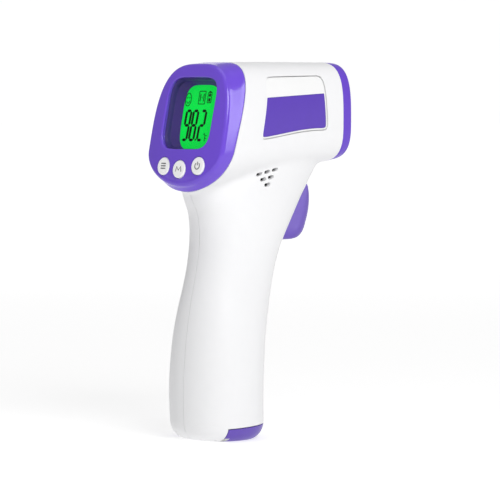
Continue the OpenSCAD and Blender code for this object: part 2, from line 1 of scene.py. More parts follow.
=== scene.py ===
"""Gun-shaped infrared forehead thermometer: the looks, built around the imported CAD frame.

Shapes are worked out in millimetres in the CAD frame and turned into metres as each mesh is made.
"""
import math

import bpy
import numpy as np
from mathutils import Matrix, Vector


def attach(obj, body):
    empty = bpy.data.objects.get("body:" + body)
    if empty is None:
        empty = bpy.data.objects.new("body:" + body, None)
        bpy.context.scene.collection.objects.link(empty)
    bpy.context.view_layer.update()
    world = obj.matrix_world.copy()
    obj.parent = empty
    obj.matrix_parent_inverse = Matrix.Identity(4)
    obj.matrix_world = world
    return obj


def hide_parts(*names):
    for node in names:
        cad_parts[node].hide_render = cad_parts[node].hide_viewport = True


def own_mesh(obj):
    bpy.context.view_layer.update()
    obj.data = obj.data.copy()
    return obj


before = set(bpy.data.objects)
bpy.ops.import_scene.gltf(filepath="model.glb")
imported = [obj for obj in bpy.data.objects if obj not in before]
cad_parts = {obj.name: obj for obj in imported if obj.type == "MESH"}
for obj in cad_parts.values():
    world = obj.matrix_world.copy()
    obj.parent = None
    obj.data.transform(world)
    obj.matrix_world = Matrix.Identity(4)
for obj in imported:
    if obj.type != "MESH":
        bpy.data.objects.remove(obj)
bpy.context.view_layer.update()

MM = 0.001

# ---- driving dimensions, in mm
# Grip sections: height, rear, front, half width
GRIP = np.array([
    [0, -17.3, 17.6, 17.6], [7.2, -17.4, 17.6, 17.7], [17.2, -17.6, 17.1, 18.15],
    [27.2, -17.2, 17.5, 18.15], [39.2, -16, 18.6, 17.6], [49.2, -14.4, 20.9, 16.5],
    [59.2, -12.2, 23.7, 15.1], [67.2, -10.3, 26, 14.9], [75.2, -9.1, 29.1, 15.3],
    [81.2, -9.1, 32.7, 15.5], [87.2, -10.1, 36.6, 15.8], [93.2, -13, 40.9, 15.7],
    [99.2, -15, 45.6, 15.4], [105.2, -13, 50, 14.4], [111.2, -9, 50.5, 12.5]])
GRIP_POWER = 2.2
GRIP_TOP = 110.2
# The rounded base edge, width by height
BASE_REAR = (7, 7.5)
BASE_FRONT = (6, 7)
BASE_SIDE = (5, 7)
# Head sections: depth, top, bottom, widest height, half width, powers above and below
HEAD = np.array([
    [-16, 145.6, 96, 111.5, 21.2, 3.8, 2], [-5, 145.6, 97.1, 112.7, 21, 3.8, 2],
    [10, 145.7, 99.3, 114.7, 20, 3.6, 2.05], [25, 145.8, 101.7, 117.2, 18.6, 3.5, 2.25],
    [40, 145.8, 104.4, 119.9, 17.2, 3.4, 2.6], [54, 145.8, 106.5, 122.4, 16, 3.4, 3.1]])
BLEND = 2.6                 # radius of the soft crease between head and grip
WALL = 2.0
NOSE_Y = 53.8
NOSE_FRONT = 58.9
NOSE_MID = 122.4
SENSOR_Z = 125.2
# The plane where the bezel meets the housing
BEZEL_TILT = math.radians(17.4)
BEZEL_Y = -9.7
BEZEL_Z = 113.7
# The display face
TILT = math.radians(12)
FACE_Y = -16.9
FACE_Z = 111.4
FACE_W = 21.0
FACE_UP = 34.6
FACE_DOWN = 13.7
FACE_POWER_UP = 3.2
FACE_POWER_DOWN = 1.9
CROWN = 1.8
PANEL_T = 2.2
WINDOW_W = 13.3
WINDOW_H = 14.1
WINDOW_MID = 14.8
WINDOW_POWER = 5.0
SLEEVE = 0.6
LCD_DEPTH = 5.2
VIEW_W = 10.0
VIEW_H = 13.0
VIEW_MID = 14.3
VIEW_POWER = 4.0
BUTTONS = {"mode": (-9.2, -6.0), "memory": (0.0, -7.1), "off": (9.75, -5.6)}
BUTTON_R = 3.45
BUTTON_TOP = {"mode": -1.25, "memory": -1.6, "off": -1.25}
FLANGE = 1.5                # depth of the flange that keeps a cap in the bezel
STEM_END = 8.4              # depth of the end of a cap's stem
# Side panel outline on the side of the head, and the line between its white and purple
PANEL = [(9.8, 139.9), (43.4, 140.6), (44.6, 118.9), (33.4, 118.9), (23.6, 117.8),
         (13.5, 116.7), (4.2, 115.6)]
PANEL_CORNER = 3.4
SPLIT = ((0, 131.5), (50, 133.9))
RECESS = 1.1                # depth of the recess that holds the side plate
PLATE_TOP = 0.35            # how far the plate's face lies below the head's surface
LABEL_IN = 0.9              # how far the purple label stays inside the plate
LABEL_DEPTH = 0.75
# Loudspeaker slots: end radius, half length, first centre, and the steps between them
HOLE_R = 0.65
HOLE_HALF = np.array([0.9, 0.2])
HOLE_FIRST = np.array([8.7, 102.5])
HOLE_STEP = np.array([4.1, 0.8])
HOLE_DROP = np.array([1.85, -2.05])
# Trigger sections: height, back, front, half width factor
TRIGGER = np.array([
    [76.3, 26.5, 38.4, 0.8], [76.9, 26.2, 40.8, 0.94], [79, 27, 43.6, 1],
    [83.2, 29.4, 45.6, 1], [88.2, 32.4, 46.9, 1], [93.2, 35.4, 46.9, 1], [96.7, 37.5, 45.8, 1],
    [98.6, 38.4, 44.4, 1]])
TRIGGER_W = 6.5
SLOT_GAP = 0.4
SLOT_Z = (75.8, 99.8)
SWITCH_Z = 84.4
TRIGGER_WALL = 1.6
RIBS_Z = (81.6, 85.6, 89.6, 93.6)
KNUCKLE_R = 3.1
ARM_REAR = 24.8
ARM_T = 2.4
# Return spring: depth, lower and upper end, radii of the coil and of the wire, turns
SPRING_Y = 27.6
SPRING_Z = (102.7, 110.0)
SPRING_R = 2.0
WIRE_R = 0.28
SPRING_TURNS = 6
# Battery door
HINGE = (-8.2, 1.4)
HINGE_R = 1.4
DOOR_TOP = 5.0
DOOR_RISE = math.tan(math.radians(2.5))
DOOR_GAP = 0.3
LUG_X = (6.2, 8.6)
BARREL_X = 10.2
SEAM = 0.06                 # half the gap between two housing halves
SEAT_R = 2.2                # radius of the counterbore over each housing screw
SCREWS = [(11.4, 22.2), (5, 58.9), (9, 85.2), (17, 132.2), (31, 136.2)]
PIVOT = (36, 100.4)


# ---- sections and fields
def full_turn(count):
    """Equal angles round a full circle."""
    return np.linspace(0, 2 * np.pi, count, endpoint=False)


def slopes(table):
    """The slope of each column of a section table at each row."""
    low = np.vstack([table[:1], table[:-1]])
    high = np.vstack([table[1:], table[-1:]])
    return (high - low) / (high[:, :1] - low[:, :1])


SLOPES = {id(GRIP): slopes(GRIP), id(HEAD): slopes(HEAD), id(TRIGGER): slopes(TRIGGER)}


def at(table, v, column):
    """A smooth value of one column of a section table."""
    v = np.clip(v, table[0, 0], table[-1, 0])
    i = np.clip(np.searchsorted(table[:, 0], v, side="right") - 1, 0, len(table) - 2)
    width = table[i + 1, 0] - table[i, 0]
    u = (v - table[i, 0]) / width
    m = SLOPES[id(table)]
    return ((2 * u ** 3 - 3 * u ** 2 + 1) * table[i, column]
            + (u ** 3 - 2 * u ** 2 + u) * m[i, column] * width
            + (3 * u ** 2 - 2 * u ** 3) * table[i + 1, column]
            + (u ** 3 - u ** 2) * m[i + 1, column] * width)


def edge_in(z, edge):
    """How far a rounded edge stands in at height z."""
    u = 1 - np.clip(z, 0, edge[1]) / edge[1]
    return edge[0] * (1 - np.sqrt(np.maximum(1 - u ** 2, 0)))


def grip_section(z, edge_z):
    """Rear, front and half width of the grip, with its base edge rounded as at edge_z."""
    return (at(GRIP, z, 1) + edge_in(edge_z, BASE_REAR),
            at(GRIP, z, 2) - edge_in(edge_z, BASE_FRONT),
            at(GRIP, z, 3) - edge_in(edge_z, BASE_SIDE))


def grip_level(p):
    """Below 0 inside the grip, 0 on its surface."""
    x, y, z = p
    zc = np.maximum(z, 0)
    rear, front, w = grip_section(zc, zc)
    a = np.abs(x) / w
    b = np.abs(y - (rear + front) / 2) / ((front - rear) / 2)
    return (a ** GRIP_POWER + b ** GRIP_POWER) ** (1 / GRIP_POWER) - 1


def head_section(y, up):
    """Half height and power of the head's section, above or below its widest height."""
    mid = at(HEAD, y, 3)
    return (np.where(up, at(HEAD, y, 1) - mid, mid - at(HEAD, y, 2)),
            np.where(up, at(HEAD, y, 5), at(HEAD, y, 6)))


def head_level(p):
    """Below 0 inside the head, 0 on its surface."""
    x, y, z = p
    mid = at(HEAD, y, 3)
    h, power = head_section(y, z >= mid)
    a = np.abs(x) / at(HEAD, y, 4)
    b = np.abs(z - mid) / h
    return (a ** power + b ** power) ** (1 / power) - 1


def gradient(field, p, eps=0.02):
    """The three slopes of a field at points, by central differences."""
    slope = []
    for axis in range(3):
        high = [c + (eps if i == axis else 0) for i, c in enumerate(p)]
        low = [c - (eps if i == axis else 0) for i, c in enumerate(p)]
        slope.append((field(high) - field(low)) / (2 * eps))
    return slope


def distance(level, p):
    """The level turned into a distance near the surface, by its own gradient."""
    steepness = np.sqrt(sum(g ** 2 for g in gradient(level, p)))
    return level(p) / np.maximum(steepness, 1e-3)


def body_field(p):
    """Distance from the surface of head and grip joined with a soft crease."""
    grip = np.maximum(distance(grip_level, p), np.maximum(-p[2], p[2] - GRIP_TOP))
    head = distance(head_level, p)
    k = np.maximum(BLEND - np.abs(grip - head), 0) / BLEND
    return np.minimum(grip, head) - k * k * BLEND / 4


def surface_net(field, low, high, step):
    """Vertices and quads of the surface field = 0 inside a box, by the surface nets method."""
    axes = [np.arange(a, b + step, step) for a, b in zip(low, high)]
    grid = np.meshgrid(*axes, indexing="ij")
    value = field(grid)
    for axis in range(3):
        for end in (0, -1):
            cut = [slice(None)] * 3
            cut[axis] = end
            value[tuple(cut)] = np.maximum(value[tuple(cut)], step)
    n = np.array(value.shape) - 1
    total = np.zeros((*n, 3))
    count = np.zeros(n)
    corners = [(i, j, k) for i in (0, 1) for j in (0, 1) for k in (0, 1)]
    pick = lambda c: tuple(slice(o, o + m) for o, m in zip(c, n))
    for a in corners:
        for axis in range(3):
            if a[axis]:
                continue
            b = tuple(v + (i == axis) for i, v in enumerate(a))
            va, vb = value[pick(a)], value[pick(b)]
            crossing = (va < 0) != (vb < 0)
            t = np.where(crossing, va / np.where(crossing, va - vb, 1), 0)
            for d in range(3):
                total[..., d] += crossing * (a[d] + (t if d == axis else 0))
            count += crossing
    active = count > 0
    index = -np.ones(n, int)
    index[active] = np.arange(active.sum())
    cell = np.argwhere(active)
    verts = np.array(low) + step * (cell + total[active] / count[active][:, None])
    quads = []
    inside = value < 0
    for axis in range(3):
        u, w = [d for d in range(3) if d != axis]
        first = [slice(1, -1)] * 3
        first[axis] = slice(0, -1)
        second = list(first)
        second[axis] = slice(1, None)
        a, b = inside[tuple(first)], inside[tuple(second)]
        for sign, mask in ((1, a & ~b), (-1, ~a & b)):
            where = np.argwhere(mask)
            where[:, [u, w]] += 1
            ring = []
            for du, dw in ((0, 0), (-1, 0), (-1, -1), (0, -1)):
                c = where.copy()
                c[:, u] += du
                c[:, w] += dw
                ring.append(index[c[:, 0], c[:, 1], c[:, 2]])
            ring = np.array(ring).T
            flip = sign * (1 if axis != 1 else -1)
            quads.append(ring if flip > 0 else ring[:, ::-1])
    return verts, np.vstack(quads)


def settle(verts, field, low, high, rounds=3):
    """Moves the vertices onto the surface, except those on the sides of the box."""
    margin = 0.3
    free = np.all((verts > np.array(low) + margin) & (verts < np.array(high) - margin), axis=1)
    for _ in range(rounds):
        p = list(verts.T)
        d = field(p)
        g = np.array(gradient(field, p)).T
        move = -d[:, None] * g / np.maximum((g ** 2).sum(1), 0.25)[:, None]
        verts = verts + np.where(free[:, None], np.clip(move, -0.3, 0.3), 0)
    return verts


# ---- meshes
def new_object(name, verts, faces, material=None, smooth=30):
    """A mesh object from points in mm, shaded smooth up to an edge angle in degrees."""
    mesh = bpy.data.meshes.new(name)
    mesh.from_pydata((np.asarray(verts, float) * MM).tolist(), [],
                     [list(map(int, f)) for f in faces])
    mesh.validate()
    mesh.update()
    thing = bpy.data.objects.new(name, mesh)
    bpy.context.scene.collection.objects.link(thing)
    if material:
        mesh.materials.append(material)
    shade(thing, smooth)
    return thing


def shade(thing, angle):
    thing.data.shade_smooth()
    thing.data.set_sharp_from_angle(angle=math.radians(angle))


def ring_faces(rings, count, closed=False):
    """Quads between successive rings, each of count points; closed joins the last to the first."""
    faces = []
    k = np.arange(count)
    nxt = (k + 1) % count
    for j in range(rings if closed else rings - 1):
        a = j * count
        b = ((j + 1) % rings) * count
        faces += np.stack([a + k, a + nxt, b + nxt, b + k], 1).tolist()
    return faces


def loft(name, rings, material=None, closed=False, smooth=30):
    """A closed solid through rings of equal counts, capped at its ends unless closed."""
    count = len(rings[0])
    faces = ring_faces(len(rings), count, closed)
    if not closed:
        faces.append(list(range(count))[::-1])
        faces.append([(len(rings) - 1) * count + k for k in range(count)])
    thing = new_object(name, np.vstack(rings), faces, material, smooth)
    face_outwards(thing)
    return thing


def face_outwards(thing):
    """Turns a mesh inside out if its signed volume is below 0."""
    mesh = thing.data
    mesh.calc_loop_triangles()
    co = np.array([v.co for v in mesh.vertices])
    tri = np.array([t.vertices for t in mesh.loop_triangles])
    a, b, c = co[tri[:, 0]], co[tri[:, 1]], co[tri[:, 2]]
    if np.einsum("ij,ij->i", a, np.cross(b, c)).sum() < 0:
        mesh.flip_normals()


def combine(thing, other, operation="DIFFERENCE", smooth=30, keep=False):
    """A boolean of two closed meshes, applied at once; the other is removed unless kept."""
    modifier = thing.modifiers.new("combine", "BOOLEAN")
    modifier.object = other
    modifier.operation = operation
    modifier.solver = "MANIFOLD"
    graph = bpy.context.evaluated_depsgraph_get()
    mesh = bpy.data.meshes.new_from_object(thing.evaluated_get(graph))
    thing.modifiers.clear()
    old = thing.data
    mesh.name = old.name
    thing.data = mesh
    bpy.data.meshes.remove(old)
    if not keep:
        bpy.data.objects.remove(other)
    shade(thing, smooth)
    return thing


def field_solid(name, field, low, high, step, material=None):
    """A closed mesh of the surface where a field is 0, inside a box."""
    verts, quads = surface_net(field, low, high, step)
    thing = new_object(name, settle(verts, field, low, high), quads, material)
    face_outwards(thing)
    return thing


def box(low, high):
    """A box between two corners, as a cutter."""
    (x0, y0, z0), (x1, y1, z1) = low, high
    return loft("box", [[(x0, y0, z), (x1, y0, z), (x1, y1, z), (x0, y1, z)]
                        for z in (z0, z1)])


def turned(name, centre, along, profile, sides=64, material=None, smooth=30):
    """A solid turned about an axis through centre; profile is (distance along, radius)."""
    along = np.array(along, float)
    along /= np.linalg.norm(along)
    ref = np.array([0, 0, 1.0]) if abs(along[2]) < 0.9 else np.array([1.0, 0, 0])
    u = np.cross(ref, along)
    u /= np.linalg.norm(u)
    v = np.cross(along, u)
    t = full_turn(sides)
    circle = np.cos(t)[:, None] * u + np.sin(t)[:, None] * v
    rings = [np.array(centre) + d * along + r * circle for d, r in profile]
    return loft(name, rings, material, smooth=smooth)


def from_face(x, depth, v):
    """Points of the face frame (across, into the part, up the face) in the part's frame."""
    x, depth, v = np.broadcast_arrays(x, depth, v)
    return np.stack([x, FACE_Y + depth * math.cos(TILT) + v * math.sin(TILT),
                     FACE_Z - depth * math.sin(TILT) + v * math.cos(TILT)], -1).astype(float)


INWARD = from_face(0, 1, 0) - from_face(0, 0, 0)


def spow(v, e):
    return np.sign(v) * np.abs(v) ** e


def head_points(y, angle, inset):
    """Points of the head's surface at depth y and section angle, moved in by inset."""
    h, power = head_section(y, np.sin(angle) >= 0)
    return np.stack([(at(HEAD, y, 4) - inset) * spow(np.cos(angle), 2 / power), y,
                     at(HEAD, y, 3) + (h - inset) * spow(np.sin(angle), 2 / power)], -1)


def plane_ring(inset, forward, count=720):
    """The head's outline on the bezel plane moved along Y by forward."""
    angle = full_turn(count)
    y = np.full(count, BEZEL_Y)
    for _ in range(12):
        z = head_points(y, angle, inset)[:, 2]
        y = BEZEL_Y + forward + (z - BEZEL_Z) * math.tan(BEZEL_TILT)
    return head_points(y, angle, inset)


def face_outline(inset, count=720):
    """The display face's outline in its own plane, as across and up."""
    angle = full_turn(count)
    up = np.sin(angle) >= 0
    power = np.where(up, FACE_POWER_UP, FACE_POWER_DOWN)
    h = np.where(up, FACE_UP, FACE_DOWN) - inset
    return (FACE_W - inset) * spow(np.cos(angle), 2 / power), h * spow(np.sin(angle), 2 / power)


def window_outline(w, h, mid, power=WINDOW_POWER, count=720):
    angle = full_turn(count)
    return w * spow(np.cos(angle), 2 / power), mid + h * spow(np.sin(angle), 2 / power)


def crown(x, v):
    """How far the face bulges out at a point."""
    up = v >= 0
    power = np.where(up, FACE_POWER_UP, FACE_POWER_DOWN)
    r = (np.abs(x / FACE_W) ** power + np.abs(v / np.where(up, FACE_UP, FACE_DOWN)) ** power)
    return CROWN * (1 - np.minimum(r ** (1 / power), 1) ** 2)


def by_angle(ring, count, centre):
    """A ring resampled at equal angles about an axis along Y."""
    phi = np.arctan2(ring[:, 2] - centre[1], ring[:, 0] - centre[0])
    order = np.argsort(phi)
    phi, ring = phi[order], ring[order]
    phi = np.concatenate([phi[-1:] - 2 * np.pi, phi, phi[:1] + 2 * np.pi])
    ring = np.vstack([ring[-1:], ring, ring[:1]])
    want = np.linspace(-np.pi, np.pi, count, endpoint=False)
    return np.stack([np.interp(want, phi, ring[:, d]) for d in range(3)], -1)


# ---- materials
def node(tree, kind, sockets=(), **values):
    """A shader node with its settings and the values of some of its sockets."""
    n = tree.nodes.new(kind)
    for key, value in values.items():
        setattr(n, key, value)
    for key, value in dict(sockets).items():
        n.inputs[key].default_value = value
    return n


def moulded(name, colour, rough=0.3, vary=0.03, bump=0.03, metal=0.0, glow=0.0, mottle=260,
            edge=0.0, gleam=0.5):
    """Moulded plastic or metal: slight mottling, uneven gloss, a fine grain and eased edges."""
    mat = bpy.data.materials.new(name)
    mat.use_nodes = True
    tree = mat.node_tree
    shader = tree.nodes["Principled BSDF"]
    link = tree.links.new
    place = node(tree, "ShaderNodeTexCoord")
    cloud = node(tree, "ShaderNodeTexNoise", {"Scale": mottle, "Detail": 4})
    link(place.outputs["Object"], cloud.inputs["Vector"])
    darker = (*[max(c * (1 - vary), 0) for c in colour], 1)
    lighter = (*[min(c * (1 + vary), 1) for c in colour], 1)
    tint = node(tree, "ShaderNodeMix", {"A": darker, "B": lighter}, data_type="RGBA")
    link(cloud.outputs["Fac"], tint.inputs["Factor"])
    link(tint.outputs["Result"], shader.inputs["Base Color"])
    gloss = node(tree, "ShaderNodeMapRange", {"To Min": rough * 0.85, "To Max": rough * 1.15})
    link(cloud.outputs["Fac"], gloss.inputs["Value"])
    link(gloss.outputs["Result"], shader.inputs["Roughness"])
    fine = node(tree, "ShaderNodeTexNoise", {"Scale": 2600, "Detail": 2})
    link(place.outputs["Object"], fine.inputs["Vector"])
    relief = node(tree, "ShaderNodeBump", {"Strength": bump, "Distance": 0.0001})
    link(fine.outputs["Fac"], relief.inputs["Height"])
    if edge:
        eased = node(tree, "ShaderNodeBevel", {"Radius": edge * MM}, samples=6)
        link(eased.outputs["Normal"], relief.inputs["Normal"])
    link(relief.outputs["Normal"], shader.inputs["Normal"])
    shader.inputs["Metallic"].default_value = metal
    shader.inputs["Specular IOR Level"].default_value = gleam
    if glow:
        link(tint.outputs["Result"], shader.inputs["Emission Color"])
        shader.inputs["Emission Strength"].default_value = glow
    return mat


def clear_plastic(name, tint, rough=0.02):
    """A thin clear window: straight through, with a reflection that grows at grazing angles."""
    mat = bpy.data.materials.new(name)
    mat.use_nodes = True
    tree = mat.node_tree
    tree.nodes.clear()
    link = tree.links.new
    out = node(tree, "ShaderNodeOutputMaterial")
    mix = node(tree, "ShaderNodeMixShader")
    through = node(tree, "ShaderNodeBsdfTransparent", {"Color": (*tint, 1)})
    shine = node(tree, "ShaderNodeBsdfGlossy", {"Roughness": rough})
    facing = node(tree, "ShaderNodeLayerWeight")
    grazing = node(tree, "ShaderNodeMath", {1: 5}, operation="POWER")
    mirror = node(tree, "ShaderNodeMapRange", {"To Min": 0.006, "To Max": 1.0})
    place = node(tree, "ShaderNodeTexCoord")
    wave = node(tree, "ShaderNodeTexNoise", {"Scale": 90})
    relief = node(tree, "ShaderNodeBump", {"Strength": 0.02, "Distance": 0.0002})
    link(place.outputs["Object"], wave.inputs["Vector"])
    link(wave.outputs["Fac"], relief.inputs["Height"])
    link(relief.outputs["Normal"], shine.inputs["Normal"])
    link(facing.outputs["Facing"], grazing.inputs[0])
    link(grazing.outputs["Value"], mirror.inputs["Value"])
    link(mirror.outputs["Result"], mix.inputs["Fac"])
    link(through.outputs["BSDF"], mix.inputs[1])
    link(shine.outputs["BSDF"], mix.inputs[2])
    link(mix.outputs["Shader"], out.inputs["Surface"])
    return mat


white_abs = moulded("white_abs", (0.84, 0.84, 0.85), rough=0.4, vary=0.012, bump=0.02, edge=0.18,
                    gleam=0.3)
panel_white = moulded("panel_white", (0.86, 0.86, 0.86), rough=0.45, vary=0.01, edge=0.12)
purple_abs = moulded("purple_abs", (0.152, 0.068, 0.63), rough=0.16, vary=0.03, bump=0.008,
                     edge=0.2)
# The bezel's purple made darker for the trigger and the battery door: the darker base is painted
# shade, the higher roughness a satin gloss.
satin_purple_painted_shade = moulded("satin_purple_painted_shade", (0.105, 0.047, 0.42), rough=0.36, vary=0.04, bump=0.02,
                       edge=0.2, gleam=0.7)
label_purple = moulded("label_purple", (0.1, 0.043, 0.44), rough=0.4, vary=0.05, edge=0.12)
ring_purple = moulded("ring_purple", (0.135, 0.06, 0.55), rough=0.3, vary=0.03, bump=0.01,
                      edge=0.2, gleam=0.3)
dark_abs = moulded("dark_abs", (0.06, 0.036, 0.22), rough=0.45, vary=0.06, bump=0.02, edge=0.15,
                   gleam=0.3)
lens_clear = clear_plastic("lens_clear", (0.96, 0.95, 0.98))
lcd_green = moulded("lcd_green", (0.0, 0.62, 0.05), rough=0.3, vary=0.02, bump=0.0, glow=0.75,
                    mottle=60, gleam=0.08)
lcd_ink = moulded("lcd_ink", (0.003, 0.01, 0.004), rough=0.5, vary=0.1, gleam=0.08)
# The caps' faint glow is painted light that lifts them above the shade of the bezel.
cap_grey_painted_glow = moulded("cap_grey_painted_glow", (0.84, 0.84, 0.84), rough=0.4, vary=0.012, edge=0.12, glow=0.1)
cap_ink = moulded("cap_ink", (0.12, 0.12, 0.13), rough=0.5, vary=0.05)
black_abs = moulded("black_abs", (0.02, 0.02, 0.023), rough=0.45, vary=0.1, bump=0.05)
nose_grey = moulded("nose_grey", (0.06, 0.06, 0.068), rough=0.4, vary=0.08, bump=0.06, edge=0.15)
rubber = moulded("rubber", (0.03, 0.03, 0.03), rough=0.7, vary=0.1, bump=0.08)
solder_mask = moulded("solder_mask", (0.02, 0.16, 0.06), rough=0.3, vary=0.12, bump=0.02)
steel = moulded("steel", (0.62, 0.62, 0.63), rough=0.28, vary=0.05, bump=0.03, metal=1)
polished = moulded("polished", (0.86, 0.86, 0.87), rough=0.12, vary=0.02, bump=0.01, metal=1)
gold_plate = moulded("gold_plate", (0.83, 0.6, 0.24), rough=0.2, vary=0.04, bump=0.02, metal=1)
ir_window = moulded("ir_window", (0.05, 0.035, 0.06), rough=0.08, vary=0.1, bump=0.01)
diffuser = moulded("diffuser", (0.7, 0.92, 0.75), rough=0.5, vary=0.03, glow=0.2)
cell_jacket = moulded("cell_jacket", (0.03, 0.035, 0.05), rough=0.25, vary=0.1, bump=0.01)
wire_skin = moulded("wire_skin", (0.42, 0.03, 0.03), rough=0.45, vary=0.08)

CAD_LOOKS = (
    (steel, "tact_switches trigger_pin trigger_switch tray_contacts door_contact"),
    (steel, "battery_door_pin housing_screws pcb_screws"),
    (black_abs, "pcb_chips mode_plunger memory_plunger off_plunger trigger_plunger"),
    (black_abs, "sensor_holder speaker battery_tray"),
    (solder_mask, "main_pcb sensor_board trigger_board"),
    (wire_skin, "sensor_cable speaker_wires battery_wires"),
    (cell_jacket, "battery_1 battery_2"), (diffuser, "lcd_backlight"),
    (panel_white, "lcd_holder"), (rubber, "zebra_strips"),
    (gold_plate, "thermopile_can"), (ir_window, "thermopile_window"))
for name, material in [(name, m) for m, names in CAD_LOOKS for name in names.split()]:
    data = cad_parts[name].data
    data.materials.clear()
    data.materials.append(material)


def finish_piece(piece, body, slot, *nodes):
    """Ties a finished piece to its CAD body and hides the nodes that it stands for; slot, the name
    of its finish, is not used.
    """
    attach(piece, body)
    if nodes:
        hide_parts(*nodes)
    return piece


def mirrored(thing, name):
    """A copy of a mesh on the other side of X = 0."""
    mesh = thing.data.copy()
    for v in mesh.vertices:
        v.co.x = -v.co.x
    mesh.flip_normals()
    other = bpy.data.objects.new(name, mesh)
    bpy.context.scene.collection.objects.link(other)
    return other


def along_x(name, p, radius, a, b, sides=48):
    """A round bar along X at (depth, height)."""
    return turned(name, (0, p[0], p[1]), (1, 0, 0), [(a, radius), (b, radius)], sides)


# ---- side panel outlines
def resample(points, count):
    """A closed outline at equal steps."""
    p = np.vstack([points, points[:1]])
    s = np.concatenate([[0], np.cumsum(np.linalg.norm(np.diff(p, axis=0), axis=1))])
    t = np.linspace(0, s[-1], count, endpoint=False)
    return np.stack([np.interp(t, s, p[:, d]) for d in (0, 1)], 1)


def soften(points, radius, count=240):
    """A closed outline with its corners rounded."""
    fine = resample(points, 4 * count)
    step = np.linalg.norm(fine[1] - fine[0])
    wave = np.fft.fftfreq(len(fine))
    keep = np.exp(-2 * (np.pi * wave * radius * 0.55 / step) ** 2)
    smooth = np.fft.ifft(np.fft.fft(fine, axis=0) * keep[:, None], axis=0).real
    return resample(smooth, count)


def grow(points, offset):
    """A closed outline moved outwards, or inwards when the offset is below 0."""
    area_sum = (points[:, 0] * np.roll(points[:, 1], -1)
                - np.roll(points[:, 0], -1) * points[:, 1]).sum()
    t = np.roll(points, -1, 0) - np.roll(points, 1, 0)
    n = np.stack([t[:, 1], -t[:, 0]], 1) * np.sign(area_sum)
    return points + offset * n / np.linalg.norm(n, axis=1)[:, None]


def clip(points, side):
    """The part of a closed outline where side, a signed value at each point, is above 0."""
    value = side(points)
    out = []
    for i, p in enumerate(points):
        j = (i + 1) % len(points)
        a, b = value[i], value[j]
        if a > 0:
            out.append(p)
        if (a > 0) != (b > 0):
            out.append(p + (points[j] - p) * a / (a - b))
    return np.array(out)


def head_side(y, z, inset):
    """How far out the head's right side is at a depth and a height."""
    mid = at(HEAD, y, 3)
    h, power = head_section(y, z >= mid)
    b = np.clip(np.abs(z - mid) / (h - inset), 0, 1)
    return (at(HEAD, y, 4) - inset) * (1 - b ** power) ** (1 / power)


arch = np.array(PANEL[2:])
arch_y = np.linspace(arch[0, 0], arch[-1, 0], 40)
arch_z = np.polyval(np.polyfit(arch[:, 0], arch[:, 1], 3), arch_y)
panel_raw = np.vstack([PANEL[:2], np.stack([arch_y, arch_z], 1)])
panel_outline = soften(panel_raw, PANEL_CORNER)


def split_height(points):
    (y0, z0), (y1, z1) = SPLIT
    return points[:, 1] - z0 - (z1 - z0) * (points[:, 0] - y0) / (y1 - y0)


def side_piece(name, outline, side, material, base, proud):
    """A plate set in the recess of the head's side, with eased edges."""
    centre = outline.mean(0)
    rings = []

    def ring(points, inset):
        x = side * head_side(points[:, 0], points[:, 1], inset)
        rings.append(np.stack([x, points[:, 0], points[:, 1]], 1))

    for s in (0.02, 0.5, 1):
        ring(centre + s * (outline - centre), base)
    for inward, inset in ((0, 0.6 * base), (0, proud + 0.12), (0.04, proud + 0.04),
                          (0.14, proud)):
        ring(grow(outline, -inward), inset)
    top = grow(outline, -0.14)
    for s in (0.98, 0.94, 0.88, 0.8, 0.7, 0.6, 0.5, 0.4, 0.3, 0.2, 0.1, 0.02):
        ring(centre + s * (top - centre), proud)
    return loft(name, rings, material)


def head_ring(y, inset, count=240):
    return head_points(np.full(count, float(y)), full_turn(count), inset)


def side_prism(outline, a, b):
    """A solid along X from a to b with an outline of depths and heights."""
    outline = np.array(outline, float)
    return loft("prism", [np.column_stack([np.full(len(outline), x), outline])
                          for x in (a, b)])


def side_recess(outline, depth, side=1):
    """A cutter that reaches from outside the head to a depth below its surface."""
    recess = side_prism(outline, *sorted((side * 6.0, side * 30.0)))
    return combine(recess, loft("core", [head_ring(y, depth) for y in np.linspace(-6, 53, 40)]))


inner_outline = grow(panel_outline, -0.25)
label_edge = grow(panel_outline, -LABEL_IN)
below = clip(label_edge, lambda p: -split_height(p))
label_outline = soften(grow(soften(below, 0.15), -0.05), 0.2)
for side, word in ((1, "right"), (-1, "left")):
    plate = side_piece(f"panel_plate_{word}", inner_outline, side, panel_white, RECESS - 0.03,
                       PLATE_TOP)
    combine(plate, side_recess(soften(below, 0.2), LABEL_DEPTH + 0.03, side))
    finish_piece(plate, "housing", "white_abs", f"side_plate_{word}")
    label = side_piece(f"panel_label_{word}", label_outline, side, label_purple, LABEL_DEPTH,
                       PLATE_TOP)
    finish_piece(label, "housing", "purple_abs", f"side_label_{word}")

# ---- housing
half = field_solid("half", body_field, (-1.1, -19.0, -1.1), (22.5, 55.5, 150.6),
                   0.55, white_abs)


def hollow_field(p):
    return body_field(p) + WALL


combine(half, field_solid("hollow", hollow_field, (-3.3, -18.0, 1.9), (21.0, 58.5, 149.0), 1.1))
combine(half, box((-5, -40, -5), (SEAM, 80, 160)))
combine(half, loft("front", [plane_ring(-6, -25, 96), plane_ring(-6, 0, 96)]))
combine(half, box((-5, NOSE_Y, 90), (40, 70, 160)))


def door_block(gap, top=60):
    """The block that the door is cut from; its top rises forwards."""
    back = HINGE[0] - gap
    return side_prism([(back, -5), (top, -5), (top, DOOR_TOP + gap + (top - HINGE[0]) * DOOR_RISE),
                       (back, DOOR_TOP + gap)], -30, 30)


